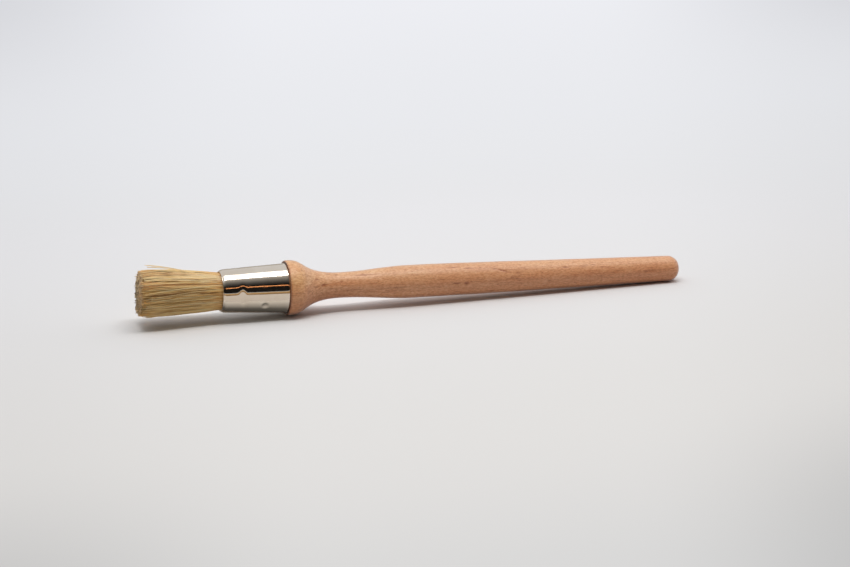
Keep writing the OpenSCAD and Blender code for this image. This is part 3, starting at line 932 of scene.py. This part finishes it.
fcol = fm.mix("MULTIPLY", fm.math("MULTIPLY", fn, 0.02), fcol, (0.9, 0.9, 0.9, 1))
fcol = fm.mix("MIX", paper_painted_falloff, fcol, (0, 0, 0, 1))
near_paper = fm.new("ShaderNodeBsdfDiffuse")
path = fm.new("ShaderNodeLightPath")
# to diffuse rays the paper is darker than it looks, which paints shade onto the undersides it lights; to glossy rays
# it is warmer, a painted reflection tint
paper_painted_bounce = fm.mix("MIX", fm.math("MULTIPLY", path.outputs["Is Diffuse Ray"], 0.32), fcol, (0.10, 0.07, 0.05, 1))
paper_painted_bounce = fm.mix("MULTIPLY", path.outputs["Is Glossy Ray"], paper_painted_bounce, (0.93, 0.88, 0.83, 1))
fm.link(paper_painted_bounce, near_paper.inputs[0])
# further out the paper glows instead of being lit: painted light, paler further back and darker at the sides, and it
# runs into the background without an edge
depth = fm.maprange(fy, -0.30, 0.95, 0.0, 1.0, False)
tone = fm.ramp(depth, [(0.0, (0.672, 0.670, 0.668)), (0.09, (0.724, 0.716, 0.708)), (0.14, (0.744, 0.737, 0.724)), (0.336, (0.801, 0.802, 0.818)), (0.534, (0.815, 0.823, 0.853)), (0.91, (0.846, 0.854, 0.893))])
tone = fm.mix("MIX", paper_painted_falloff, tone, (0, 0, 0, 1))
radius = fm.math("SQRT", fm.math("ADD", fm.math("MULTIPLY", fx, fx), fm.math("MULTIPLY", fy, fy)))
tone = fm.mix("MIX", fm.maprange(radius, 1.0, 4.5, 0.0, 1.0), tone, (*BACK, 1))
far_paper_painted_glow = fm.new("ShaderNodeEmission")
fm.link(tone, far_paper_painted_glow.inputs[0])
ex = fm.math("DIVIDE", fx, 0.36)
ey = fm.math("DIVIDE", fm.math("ADD", fy, 0.01), 0.22)
oval = fm.math("SQRT", fm.math("ADD", fm.math("MULTIPLY", ex, ex), fm.math("MULTIPLY", ey, ey)))
fmix = fm.new("ShaderNodeMixShader")
fm.link(fm.maprange(oval, 0.62, 1.25, 0.0, 1.0), fmix.inputs[0])
fm.link(near_paper.outputs[0], fmix.inputs[1])
fm.link(far_paper_painted_glow.outputs[0], fmix.inputs[2])
fm.link(fmix.outputs[0], fm.out.inputs[0])
floor.data.materials.append(fm.mat)


def emission(name, colour, strength, attr=None):
    m = Nodes(name)
    e = m.new("ShaderNodeEmission")
    e.inputs[0].default_value = (*colour, 1)
    if attr:
        m.link(m.attr(attr).outputs["Fac"], e.inputs[1])
    else:
        e.inputs[1].default_value = strength
    m.link(e.outputs[0], m.out.inputs[0])
    return m.mat


def arc_card(name, el0, el1, radius, x0, x1, mat, glow=None, steps=16, side=-1):
    """A curved card along X on one side of the table, seen by reflections and not by the camera."""
    verts, faces, g = [], [], []
    for i in range(steps + 1):
        e = math.radians(el0 + (el1 - el0) * i / steps)
        for x in (x0, x1):
            verts.append((x, side * radius * math.cos(e), radius * math.sin(e)))
            if glow:
                g.append(glow[0] + (glow[1] - glow[0]) * (i / steps) ** glow[2])
    for i in range(steps):
        faces.append((2 * i, 2 * i + 1, 2 * i + 3, 2 * i + 2))
    ob = flat_mesh(name, verts, faces)
    if glow:
        vertex_float(ob, "glow", g)
    ob.data.materials.append(mat)
    ob.visible_camera = False
    return ob


black = Nodes("dark_room")
black.principled(Base_Color=(0.012, 0.011, 0.010, 1), Roughness=0.9, Specular_IOR_Level=0.1)
arc_card("dark_room", 0.6, 36, 1.35, -3.0, 3.0, black.mat)
arc_card("ceiling_fade", 36, 72, 1.35, -3.0, 3.0, emission("fade", (1.0, 0.96, 0.92), 0, "glow"), glow=(0.025, 0.50, 1.7))
arc_card("far_wall", 1.5, 24, 1.9, -3.0, 3.0, emission("wall", (1.03, 0.99, 0.93), 0, "glow"), glow=(0.36, 0.60, 1.0), side=1)
# a glowing orange band seen only in reflections: a painted reflection of a warm object behind the camera
warm = arc_card("painted_reflection_warm_strip", 26.5, 28.7, 1.30, -0.9, 1.1, emission("warm", (1.0, 0.42, 0.17), 2.00), steps=3)
warm.visible_shadow = False
# a glowing tan strip seen only in reflections, lighter at the top: a painted reflection of a brush lying in front
near = flat_mesh(
    "painted_reflection_strip",
    [(x, -0.058, z) for z in (0.0010, 0.0050, 0.0070, 0.0104) for x in (-0.130, 0.30)],
    [(0, 1, 3, 2), (2, 3, 5, 4), (4, 5, 7, 6)],
)
vertex_float(near, "glow", [0.45, 0.45, 0.62, 0.62, 1.0, 1.0, 1.0, 1.0])
near.data.materials.append(emission("near", (0.55, 0.35, 0.165), 1.0, "glow"))
# the soft shade on the table right under the ferrule, as the plated sheet mirrors it
shade_y = (-0.0168, -0.0145, -0.0129, -0.0114, -0.0100, -0.0087, -0.0075, -0.0064, -0.0051, -0.0030)
shade_glow = (0.735, 0.695, 0.610, 0.500, 0.420, 0.325, 0.215, 0.130, 0.095, 0.075)
shade = flat_mesh(
    "near_shade",
    [(x, y, 0.0005) for y in shade_y for x in (-0.115, -0.020)],
    [(2 * i, 2 * i + 1, 2 * i + 3, 2 * i + 2) for i in range(len(shade_y) - 1)],
)
vertex_float(shade, "glow", np.repeat(shade_glow, 2))
shade.data.materials.append(emission("shade", (1.0, 0.95, 0.89), 1.0, "glow"))
for ob in (near, warm, shade):
    ob.visible_camera = False
    ob.visible_diffuse = False
    ob.visible_shadow = False
    ob.visible_transmission = False


left_wall = flat_mesh("left_wall", [(-1.6, -1.6, 0.02), (-1.6, 1.6, 0.02), (-1.6, 1.6, 1.1), (-1.6, -1.6, 1.1)], [(0, 1, 2, 3)])
left_wall.data.materials.append(emission("left_tone", (1.03, 0.97, 0.89), 0.30))
left_wall.visible_camera = False


def area(name, loc, target, size_x, size_y, power, colour=(1, 1, 1), spread=180):
    la = bpy.data.lights.new(name, "AREA")
    la.shape = "RECTANGLE"
    la.size, la.size_y = size_x, size_y
    la.energy = power
    la.color = colour
    la.spread = math.radians(spread)
    ob = bpy.data.objects.new(name, la)
    ob.location = loc
    ob.rotation_euler = (Vector(target) - Vector(loc)).to_track_quat("-Z", "Y").to_euler()
    scene.collection.objects.link(ob)
    return ob


area("softbox_front", (0.0, -0.243, 1.30), (0.0, -0.243, 0.0), 1.3, 0.155, 6.9, (1.0, 0.99, 0.975))
area("softbox_back", (0.0, 0.055, 1.30), (0.0, 0.055, 0.0), 1.3, 0.47, 3.3, (1.0, 0.99, 0.975))

world = bpy.data.worlds.new("studio")
scene.world = world
world.use_nodes = True
bg = world.node_tree.nodes["Background"]
bg.inputs[0].default_value = (*BACK, 1)
bg.inputs[1].default_value = 1.0

# ---------------------------------------------------------------- camera
az, el, dist = math.radians(-18.131), math.radians(15.319), 0.79051
back = Vector((math.sin(az) * math.cos(el), -math.cos(az) * math.cos(el), math.sin(el)))
right = Vector((math.cos(az), math.sin(az), 0.0))
up = back.cross(right)
cam_data = bpy.data.cameras.new("camera")
cam_data.sensor_width = 36.0
cam_data.lens = 36.0 * 2000.0 / 850.0
cam_data.clip_start, cam_data.clip_end = 0.01, 100.0
cam = bpy.data.objects.new("camera", cam_data)
cam.matrix_world = Matrix(
    (
        (right.x, up.x, back.x, 0), (right.y, up.y, back.y, 0), (right.z, up.z, back.z, 0), (0, 0, 0, 1),
    )
)
cam.location = back * dist + right * 0.002305 + up * 0.007505
scene.collection.objects.link(cam)
scene.camera = cam
